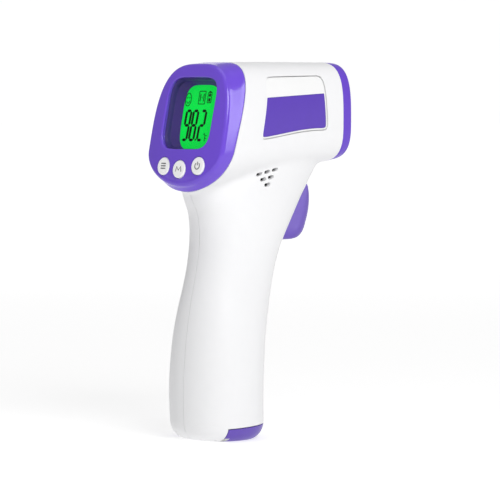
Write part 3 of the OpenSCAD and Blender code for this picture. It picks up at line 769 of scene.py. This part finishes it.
# Room for the battery door, its barrel and its floor as it swings
combine(half, door_block(DOOR_GAP))
combine(half, along_x("barrel", HINGE, HINGE_R + DOOR_GAP, -5, BARREL_X))
combine(half, box((-5, HINGE[0] - 1.9, -5), (BARREL_X, HINGE[0] + 0.1, HINGE[1])))
combine(half, box((-5, 18, SLOT_Z[0]), (TRIGGER_W + SLOT_GAP, 54, SLOT_Z[1])))
combine(half, side_recess(panel_outline, RECESS))
lug = along_x("lug", HINGE, HINGE_R - 0.1, *LUG_X)
combine(lug, box((LUG_X[0], HINGE[0] - 1.3, HINGE[1]), (LUG_X[1], HINGE[0] + 1.3, 6.1)), "UNION")
combine(lug, box((LUG_X[0] + 0.02, -14.6, 5.3), (LUG_X[1] - 0.02, HINGE[0], 6.08)), "UNION")
combine(half, lug, "UNION")
left = mirrored(half, "housing_shell_left")
half.name = "housing_shell_right"
for row in range(3):
    for i in range(3 - row):
        spot = HOLE_FIRST + row * HOLE_DROP + i * HOLE_STEP
        across = np.array([-HOLE_HALF[1], HOLE_HALF[0]]) * HOLE_R / np.linalg.norm(HOLE_HALF)
        turn = np.linspace(0, np.pi, 16)[:, None]
        end = np.cos(turn) * -across + np.sin(turn) * np.array([across[1], -across[0]])
        combine(half, side_prism(np.vstack([spot + HOLE_HALF + end, spot - HOLE_HALF - end]),
                                 8, 20))
for spot in SCREWS:
    combine(left, along_x("seat", spot, SEAT_R, -30, -8.5))
finish_piece(half, "housing", "white_abs", "housing_right")
finish_piece(left, "housing", "white_abs", "housing_left")

# ---- bezel
CENTRE = (0.0, FACE_Z + 12.0)
COUNT = 720


def turn_to(ring):
    return by_angle(ring, COUNT, CENTRE)


def face_edge(inset, depth):
    x, v = face_outline(inset)
    return turn_to(from_face(x, depth, v))


def window_edge(extra, depth):
    """The window's outline at a depth."""
    x, v = window_outline(WINDOW_W + extra, WINDOW_H + extra, WINDOW_MID)
    return turn_to(from_face(x, depth, v))


def window_lip(extra, below):
    """The window's outline at a depth below the crowned face."""
    x, v = window_outline(WINDOW_W + extra, WINDOW_H + extra, WINDOW_MID)
    return turn_to(from_face(x, below - crown(x, v), v))


def face_coords(ring):
    """Across and up in the face frame for points of the part's frame."""
    y, z = ring[:, 1] - FACE_Y, ring[:, 2] - FACE_Z
    return ring[:, 0], y * math.sin(TILT) + z * math.cos(TILT)


rings = [turn_to(plane_ring(WALL, -0.15)), turn_to(plane_ring(0.35, -0.15)),
         turn_to(plane_ring(0.08, -0.2)), turn_to(plane_ring(0, -0.4))]
EDGE = 1.6
back, front = turn_to(plane_ring(0, -1.2)), face_edge(0, EDGE)
rings += [back + (front - back) * t for t in (0, 0.25, 0.5, 0.75, 1)]
x, v = face_outline(EDGE)
edge_depth = -crown(x, v)
for t in np.linspace(0, 90, 11)[1:]:
    t = math.radians(t)
    x, v = face_outline(EDGE * (1 - math.cos(t)))
    rings.append(turn_to(from_face(x, EDGE + (edge_depth - EDGE) * math.sin(t), v)))
x0, v0 = face_coords(rings[-1])
x1, v1 = face_coords(window_lip(0.75, 0))
for t in np.linspace(0, 1, 15)[1:]:
    x, v = x0 + (x1 - x0) * t, v0 + (v1 - v0) * t
    rings.append(from_face(x, -crown(x, v), v))
rings += [window_lip(0.45, 0.04), window_lip(0.2, 0.16), window_lip(0.05, 0.34),
          window_lip(0, 0.55), window_edge(0, PANEL_T)]
rings += [face_edge(WALL + 1.2, PANEL_T), face_edge(WALL, PANEL_T + 0.6)]
bezel = loft("bezel_shell", rings, purple_abs, closed=True)
for x, v in BUTTONS.values():
    centre = from_face(x, 0, v)
    for low, high, gap in ((-5, 1.3, 0.2), (FLANGE - 0.3, 9, 0.9)):
        combine(bezel, turned("hole", centre, INWARD,
                              [(low, BUTTON_R + gap), (high, BUTTON_R + gap)], 96))
finish_piece(bezel, "housing", "purple_abs", "display_bezel")


def window_ring(w, h, depth, mid=WINDOW_MID, power=WINDOW_POWER):
    x, v = window_outline(w, h, mid, power, 240)
    return from_face(x, depth, v)


lens = []
for inset, depth in ((0.5, 0.55), (0.15, 0.5), (0.08, 0.4), (0.08, -0.3), (0.12, -0.4),
                     (0.25, -0.45)):
    lens.append(window_ring(WINDOW_W - inset, WINDOW_H - inset, depth))
for s in (0.9, 0.75, 0.6, 0.45, 0.3, 0.15, 0.01):
    lens.append(window_ring(s * (WINDOW_W - 0.25), s * (WINDOW_H - 0.25),
                            -0.45 - 0.22 * (1 - s * s)))
finish_piece(loft("window_lens", lens, lens_clear), "housing", "clear_lens", "display_lens")

INNER_W, INNER_H = WINDOW_W - 0.1 - SLEEVE, WINDOW_H - 0.1 - SLEEVE
OUTER_W, OUTER_H = WINDOW_W + 1.1, WINDOW_H + 0.9
shroud = [window_ring(w, h, depth) for w, h, depth in (
    (OUTER_W, OUTER_H, 5.15), (OUTER_W, OUTER_H, 2.35), (WINDOW_W - 0.1, WINDOW_H - 0.1, 2.35),
    (WINDOW_W - 0.1, WINDOW_H - 0.1, 0.62), (WINDOW_W - 0.2, WINDOW_H - 0.2, 0.62),
    (INNER_W + 0.05, INNER_H + 0.05, 1.52), (INNER_W, INNER_H, 1.68), (INNER_W, INNER_H, 2.8))]
for t in (0.06, 0.12, 0.5, 0.92, 0.97, 1):
    ease = 0.35 * (1 - t) if t < 0.2 else 0
    shroud.append(window_ring(INNER_W + (VIEW_W - 0.25 - INNER_W) * t,
                              INNER_H + (VIEW_H - 0.25 - INNER_H) * t,
                              2.9 + (5.1 - 2.9) * t, WINDOW_MID + (VIEW_MID - WINDOW_MID) * t,
                              WINDOW_POWER + (VIEW_POWER - WINDOW_POWER) * t + ease))
shroud.append(window_ring(VIEW_W - 0.25, VIEW_H - 0.25, 5.15, VIEW_MID, VIEW_POWER))
finish_piece(loft("window_funnel", shroud, dark_abs, closed=True), "housing", "dark_purple_abs",
             "lcd_shroud")

glass = [window_ring(11.4 - o, 13.3 - o, d, VIEW_MID, 40)
         for o, d in ((0.1, 7.2), (0, 7.1), (0, 5.3), (0.1, 5.2))]
finish_piece(loft("lcd_cell", glass, lcd_green), "housing", "lcd_green", "lcd_glass")


# ---- marks on the display and caps
def ribbon(path, width, near, far, closed=False):
    """A raised line along a path on the face."""
    path = np.asarray(path, float)
    if closed:
        t = np.roll(path, -1, 0) - np.roll(path, 1, 0)
    else:
        t = np.gradient(path, axis=0)
    t /= np.linalg.norm(t, axis=1)[:, None]
    n = np.stack([-t[:, 1], t[:, 0]], 1) * width / 2
    corners = [(path + n, near), (path - n, near), (path - n, far), (path + n, far)]
    rings = np.stack([from_face(p[:, 0], d, p[:, 1]) for p, d in corners], 1)
    faces = ring_faces(len(path), 4, closed)
    if not closed:
        last = 4 * (len(path) - 1)
        faces += [[3, 2, 1, 0], [last, last + 1, last + 2, last + 3]]
    return rings.reshape(-1, 3), faces


def patch(outline, near, far):
    """A raised flat shape on the face."""
    outline = np.asarray(outline, float)
    n = len(outline)
    verts = np.vstack([from_face(outline[:, 0], d, outline[:, 1]) for d in (near, far)])
    faces = ring_faces(2, n)
    faces += [list(range(n))[::-1], list(range(n, 2 * n))]
    return verts, faces


def gather(name, parts, material):
    """One object from many closed shapes, each facing outwards."""
    verts, faces, start = [], [], 0
    for points, sides in parts:
        volume = sum(np.dot(points[f[0]], np.cross(points[f[i]], points[f[i + 1]]))
                     for f in sides for i in range(1, len(f) - 1))
        sides = sides if volume > 0 else [f[::-1] for f in sides]
        verts.append(points)
        faces += [[start + i for i in f] for f in sides]
        start += len(points)
    return new_object(name, np.vstack(verts), faces, material)


def arc(x, v, rx, rv, a=0.0, b=360.0, count=24):
    t = np.radians(np.linspace(a, b, count, endpoint=(b - a) < 360))
    return np.stack([x + rx * np.cos(t), v + rv * np.sin(t)], 1)


SEGMENTS = {"a": (0, 1, 0), "d": (0, -1, 0), "g": (0, 0, 0), "b": (1, 0.5, 1),
            "c": (1, -0.5, 1), "e": (-1, -0.5, 1), "f": (-1, 0.5, 1)}
DIGIT_W = 1.25
DIGIT_H = 5.7
STROKE = 0.54
ITALIC = 0.05


def digit(segments, x, v):
    """The lit bars of one leaning digit."""
    shapes = []
    for key in segments:
        sx, sv, upright = SEGMENTS[key]
        long = (DIGIT_H / 2 if upright else DIGIT_W) - 0.12
        bar = np.array([(-long, 0), (-long + STROKE, STROKE), (long - STROKE, STROKE), (long, 0),
                        (long - STROKE, -STROKE), (-long + STROKE, -STROKE)])
        if upright:
            bar = bar[:, ::-1]
        bar = bar + (sx * DIGIT_W, sv * DIGIT_H)
        bar[:, 0] += ITALIC * bar[:, 1]
        shapes.append(bar + (x, v))
    return shapes


NEAR, FAR = LCD_DEPTH - 0.07, LCD_DEPTH + 0.02
shapes = []
for segments, x in (("abcdfg", -6.6), ("abcdefg", -2.7), ("abged", 1.8)):
    shapes += digit(segments, x, 11.2)
shapes.append(arc(-0.55, 5.6, 0.4, 0.4))
x, v = 3.9, 22.3
for low, high in ((-1.75, -0.45), (0.2, 1.4)):
    shapes.append([(x - 0.5, v + low), (x + 0.5, v + low), (x + 0.5, v + high),
                   (x - 0.5, v + high)])
parts = [patch(s, NEAR, FAR) for s in shapes]
LINE = 0.3


def line(points, closed=False, width=LINE):
    parts.append(ribbon(points, width, NEAR, FAR, closed))


line(soften(np.array([(x - 1, v - 2.2), (x + 1, v - 2.2), (x + 1, v + 1.8), (x - 1, v + 1.8)]),
            0.2, 48), True)
line([(x - 0.5, v + 2.15), (x + 0.5, v + 2.15)], width=0.4)
x, v = -0.3, 22.1
line(soften(np.array([(x - 1.75, v - 2.5), (x + 1.75, v - 2.5), (x + 1.75, v + 2.5),
                      (x - 1.75, v + 2.5)]), 0.2, 64), True)
line([(x - 0.95, v - 1.5), (x - 0.95, v + 1.5), (x, v - 0.2), (x + 0.95, v + 1.5),
      (x + 0.95, v - 1.5)], width=0.4)
x, v = -7.85, 21.3
line(arc(x, v, 1.6, 2.5, count=40), True)
line(arc(x, v - 0.1, 0.8, 1.3, 200, 340, 14), width=0.26)
parts += [patch(arc(x + s * 0.6, v + 0.75, 0.22, 0.32), NEAR, FAR) for s in (-1, 1)]
x, v = 4.5, 6.2
line(arc(x - 0.5, v + 1.6, 0.32, 0.32, count=16), True, 0.18)
line([(x, v - 1.1), (x, v + 1.1), (x + 0.95, v + 1.1)], width=0.28)
line([(x + 0.14, v), (x + 0.75, v)], width=0.26)
finish_piece(gather("lcd_figures", parts, lcd_ink), "housing", "black_plastic")

for name, (x, v) in BUTTONS.items():
    top = BUTTON_TOP[name]
    profile = [(STEM_END, 0.8), (STEM_END - 0.06, 0.9), (STEM_END - 0.1, 1.3),
               (STEM_END - 0.2, 1.4), (2.2, 1.4), (2.2, BUTTON_R + 0.6),
               (FLANGE, BUTTON_R + 0.6), (FLANGE, BUTTON_R), (top + 0.4, BUTTON_R),
               (top + 0.23, BUTTON_R - 0.04), (top + 0.1, BUTTON_R - 0.14),
               (top + 0.03, BUTTON_R - 0.3), (top, BUTTON_R - 0.55), (top - 0.02, 2.2),
               (top - 0.03, 0.02)]
    cap = turned(f"{name}_cap", from_face(x, 0, v), INWARD, profile, 96, cap_grey_painted_glow)
    finish_piece(cap, f"{name}_button", "button_grey", f"{name}_button")
    near, far = top - 0.08, top + 0.05
    if name == "mode":
        parts = [ribbon([(x - 1.3, v + d), (x + 1.3, v + d)], 0.42, near, far)
                 for d in (-0.95, 0, 0.95)]
    elif name == "memory":
        parts = [ribbon([(x - 1.5, v - 1), (x - 1.1, v + 1), (x, v - 0.5), (x + 1.1, v + 1),
                         (x + 1.5, v - 1)], 0.4, near, far)]
    else:
        parts = [ribbon(arc(x, v - 0.1, 1.25, 1.25, 125, 415, 30), 0.38, near, far),
                 ribbon([(x, v + 0.1), (x, v + 1.5)], 0.38, near, far)]
    finish_piece(gather(f"{name}_mark", parts, cap_ink), f"{name}_button", "black_plastic")


# ---- nose
def nose_ring(y, inset, lift, count=240):
    ring = head_ring(NOSE_Y, inset, count)
    z = ring[:, 2]
    ring[:, 2] = np.where(z < NOSE_MID, NOSE_MID - (NOSE_MID - z) * (1 - lift / 17), z)
    ring[:, 1] = y
    return ring


collar = [head_ring(NOSE_Y - 3, WALL + 0.15), head_ring(NOSE_Y + 0.12, WALL + 0.15),
          head_ring(NOSE_Y + 0.12, 0.25), head_ring(NOSE_Y + 0.2, 0.06),
          head_ring(NOSE_Y + 0.4, 0.0), nose_ring(NOSE_Y + 1.6, 0.04, 0.25),
          nose_ring(NOSE_FRONT - 1.1, 0.1, 0.62)]
for t in np.linspace(15, 90, 6):
    s, c = math.sin(math.radians(t)), math.cos(math.radians(t))
    collar.append(nose_ring(NOSE_FRONT - 1.1 + 1.1 * s, 0.1 + 1.1 * (1 - c),
                            0.62 + 1.1 * (1 - c)))
collar += [nose_ring(NOSE_FRONT, 2.7, 2.9), nose_ring(NOSE_FRONT - 0.15, 3.05, 3.1),
           nose_ring(NOSE_FRONT - 0.5, 3.2, 3.2), head_ring(NOSE_Y - 3, WALL + 1.2)]
finish_piece(loft("nose_collar", collar, ring_purple, closed=True), "housing", "purple_abs",
             "sensor_ring")


def bore_ring(y, radius, like):
    """A circle round the sensor axis with its points in step with another ring."""
    phi = np.arctan2(like[:, 2] - SENSOR_Z, like[:, 0])
    return np.stack([radius * np.cos(phi), np.full(len(phi), float(y)),
                     SENSOR_Z + radius * np.sin(phi)], 1)


rim = nose_ring(NOSE_FRONT - 1.1, 3.4, 3.2)
deep = nose_ring(NOSE_FRONT - 2.6, 3.4, 3.2)
plate = [deep, rim + (0, -0.15, 0), nose_ring(NOSE_FRONT - 1.1, 3.55, 3.4)]
plate += [bore_ring(y, r, rim) for y, r in ((NOSE_FRONT - 1.1, 8.4), (NOSE_FRONT - 1.25, 8.15),
                                            (NOSE_FRONT - 2.6, 8.1))]
finish_piece(loft("nose_face", plate, nose_grey, closed=True), "housing", "nose_grey",
             "nose_plate")

bore = [(44.5, 2.9), (46, 3.0), (49, 3.7), (52, 4.6), (55, 5.75), (57.4, 6.9), (58.1, 7.32),
        (58.27, 7.5), (58.3, 7.7), (58.22, 7.9), (58, 8.0), (44.5, 8.0)]
t = full_turn(96)
cone = [np.stack([r * np.cos(t), np.full(96, float(y)), SENSOR_Z + r * np.sin(t)], 1)
        for y, r in bore]
finish_piece(loft("sensor_horn", cone, polished, closed=True), "housing", "cone_metal",
             "sensor_cone")


# ---- trigger
def trigger_ring(z, shrink=0.0, count=64):
    w = TRIGGER_W * at(TRIGGER, z, 3) - shrink
    back, front = at(TRIGGER, z, 1) - 2 * shrink, at(TRIGGER, z, 2) - shrink
    t = np.radians(np.linspace(90, -90, count))
    nose = np.stack([w * spow(np.sin(t), 0.8),
                     back + (front - back) * (0.55 + 0.45 * spow(np.cos(t), 0.8)),
                     np.full(count, float(z))], 1)
    sides = [[-w, back + 0.3, z], [-w + 0.3, back, z], [w - 0.3, back, z], [w, back + 0.3, z]]
    return np.vstack([nose, np.array(sides, float)])


heights = np.concatenate([[76.3, 76.45, 76.65, 76.9, 77.3, 77.9], np.linspace(79, 98.1, 36),
                          [98.4, 98.6]])
# The lever's darker purple is painted shade.
lever = loft("trigger_lever", [trigger_ring(z) for z in heights], satin_purple_painted_shade)
combine(lever, loft("pocket", [trigger_ring(z, TRIGGER_WALL) for z in np.linspace(79, 96.7, 30)]))
for z in RIBS_Z:
    combine(lever, box((-5.2, at(TRIGGER, z + 1, 1) + 0.5, z), (5.2, 42.4, z + 1)), "UNION")
combine(lever, along_x("knuckle", PIVOT, KNUCKLE_R, -6, 6), "UNION")
combine(lever, box((-2, PIVOT[0] - 3, 95.2), (2, PIVOT[0] + 2, PIVOT[1])), "UNION")
combine(lever, box((-2.6, ARM_REAR, SLOT_Z[1]), (2.6, PIVOT[0], SLOT_Z[1] + ARM_T)), "UNION")
combine(lever, turned("tip", (0, 0, SWITCH_Z), (0, 1, 0), [(27.7, 1.5), (31.5, 1.5)]), "UNION")
finish_piece(lever, "trigger", "purple_abs", "trigger")


def coil_ring(turn):
    """One section of the wire of the return spring."""
    angle = 2 * math.pi * turn
    radial = np.array([math.cos(angle), math.sin(angle), 0])
    rise = (SPRING_Z[1] - SPRING_Z[0]) * turn / SPRING_TURNS
    place = np.array([0, SPRING_Y, SPRING_Z[0] + rise]) + SPRING_R * radial
    around = np.radians(np.arange(0, 360, 36))[:, None]
    return place + WIRE_R * (np.cos(around) * radial + np.sin(around) * np.array([0, 0, 1.0]))


spring = loft("return_spring", [coil_ring(turn) for turn in np.linspace(0, SPRING_TURNS, 145)],
              steel)
finish_piece(spring, "housing", "steel", "trigger_spring")
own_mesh(spring)


# ---- battery door
def grip_ring(z, inset=0.0, count=360):
    rear, front, w = grip_section(z, max(z - inset, 0.0))
    rear, front, w = rear + inset, front - inset, w - inset
    a = full_turn(count)
    return np.stack([w * spow(np.cos(a), 2 / GRIP_POWER),
                     (rear + front) / 2 + (front - rear) / 2 * spow(np.sin(a), 2 / GRIP_POWER),
                     np.full(count, float(z))], 1)


# The door's darker purple is painted shade.
door = loft("door_shell", [grip_ring(z) for z in (0, 0.03, 0.1, 0.22, 0.4, 0.65, 1, 1.5, 2.2, 3,
                                                  4, 5, 7)], satin_purple_painted_shade)
combine(door, door_block(0), "INTERSECT")
cavity = loft("cavity", [grip_ring(z, 1.6) for z in (1.8, 2.2, 2.8, 3.6, 5.2, 7.5)])
combine(cavity, box((-30, -40, -5), (30, HINGE[0] + 3.2, 20)))
for s in (-1, 1):
    combine(cavity, box((s * 5.5 - 3, -2.1, 0), (s * 5.5 + 3, 2.9, 3.8)))
combine(door, cavity)
combine(door, along_x("barrel", HINGE, HINGE_R, -6, 6), "UNION")
for s in (-1, 1):
    a, b = sorted((s * (LUG_X[0] - 0.2), s * (LUG_X[1] + 0.2)))
    combine(door, box((a, HINGE[0] - 3, -1), (b, HINGE[0] + 1.8, 8)))
    a, b = sorted((s * LUG_X[1], s * 30))
    corner = along_x("corner", HINGE, HINGE_R + DOOR_GAP, a, b)
    combine(corner, box((-31, HINGE[0] - 3, HINGE[1]), (31, HINGE[0] + 3, HINGE[1] + 4)))
    combine(door, corner)
finish_piece(door, "battery_door", "purple_abs", "battery_door")


# ---- stage, light and camera, in m
MIDDLE = Vector((0.0, 0.015, 0.107))
LOOK_AT = Vector((0, 0.018, 0.0724))
CAMERA_AZIMUTH = 46
CAMERA_RISE = 3
CAMERA_REACH = 1.2


def direction(azimuth, rise):
    """A unit vector by its angles, azimuth 0 in front of the display."""
    a, e = math.radians(azimuth), math.radians(rise)
    return Vector((math.sin(a) * math.cos(e), -math.cos(a) * math.cos(e), math.sin(e)))


def area(name, place, width, height, radiance):
    """A soft panel of light aimed at the object's middle, brightness 1 for lit white paper."""
    lamp = bpy.data.lights.new(name, "AREA")
    lamp.shape = "RECTANGLE"
    lamp.size = width
    lamp.size_y = height
    lamp.energy = radiance * math.pi * width * height
    thing = bpy.data.objects.new(name, lamp)
    bpy.context.scene.collection.objects.link(thing)
    thing.location = place
    thing.rotation_euler = (MIDDLE - place).to_track_quat("-Z", "Y").to_euler()
    return thing


floor_mat = moulded("floor", (0.42, 0.42, 0.42), rough=0.8, vary=0.005, bump=0, mottle=4, glow=1)
# The floor's own light is a little weaker near the object, where the lamps add to it
tree = floor_mat.node_tree
place = tree.nodes["Texture Coordinate"]
reach = node(tree, "ShaderNodeVectorMath", operation="LENGTH")
pool = node(tree, "ShaderNodeMapRange",
            {"From Min": 0.1, "From Max": 1.6, "To Min": 0.68, "To Max": 0.86},
            interpolation_type="SMOOTHSTEP")
floor_shader = tree.nodes["Principled BSDF"]
tree.links.new(place.outputs["Object"], reach.inputs[0])
tree.links.new(reach.outputs["Value"], pool.inputs["Value"])
tree.links.new(pool.outputs["Result"], floor_shader.inputs["Emission Strength"])
tree.links.remove(floor_shader.inputs["Emission Color"].links[0])
floor_shader.inputs["Emission Color"].default_value = (1, 1, 1, 1)
FAR_OUT = 8000
floor = new_object("floor", [(-FAR_OUT, -FAR_OUT, 0), (FAR_OUT, -FAR_OUT, 0),
                             (FAR_OUT, FAR_OUT, 0), (-FAR_OUT, FAR_OUT, 0)], [(0, 1, 2, 3)],
                   floor_mat)

# The world is dim, and white only behind the object
away = direction(CAMERA_AZIMUTH, CAMERA_RISE)
world = bpy.data.worlds.new("studio")
bpy.context.scene.world = world
world.use_nodes = True
tree = world.node_tree
backdrop = tree.nodes["Background"]
place = node(tree, "ShaderNodeTexCoord")
dot = node(tree, "ShaderNodeVectorMath", {1: (-away.x, -away.y, 0.0)}, operation="DOT_PRODUCT")
shade_map = node(tree, "ShaderNodeMapRange",
                 {"From Min": 0.9, "From Max": 0.985, "To Min": 0.36, "To Max": 1.01},
                 interpolation_type="SMOOTHSTEP")
tree.links.new(place.outputs["Generated"], dot.inputs[0])
tree.links.new(dot.outputs["Value"], shade_map.inputs["Value"])
tree.links.new(shade_map.outputs["Result"], backdrop.inputs["Strength"])
backdrop.inputs["Color"].default_value = (1, 1, 1, 1)

area("key", MIDDLE + 0.95 * direction(70, 34), 0.42, 0.42, 9.2)
area("overhead", Vector((0.0, 0.0, 0.95)), 0.7, 0.7, 0.9)
# Seen only as a reflection in the glossy purple pieces
side_box = area("side_box", Vector((0.45, 0.43, 0.304)), 0.34, 0.4, 5.0)
side_box.visible_diffuse = False
glossy_pieces = bpy.data.collections.new("side_box_only")
for piece in (bezel, lever):
    glossy_pieces.objects.link(piece)
side_box.light_linking.receiver_collection = glossy_pieces
bpy.context.scene.view_settings.view_transform = "Standard"

camera = bpy.data.objects.new("camera", bpy.data.cameras.new("camera"))
bpy.context.scene.collection.objects.link(camera)
camera.data.sensor_width = 36
camera.data.lens = 221
camera.location = LOOK_AT + CAMERA_REACH * away
camera.rotation_euler = (-away).to_track_quat("-Z", "Y").to_euler()
bpy.context.scene.camera = camera
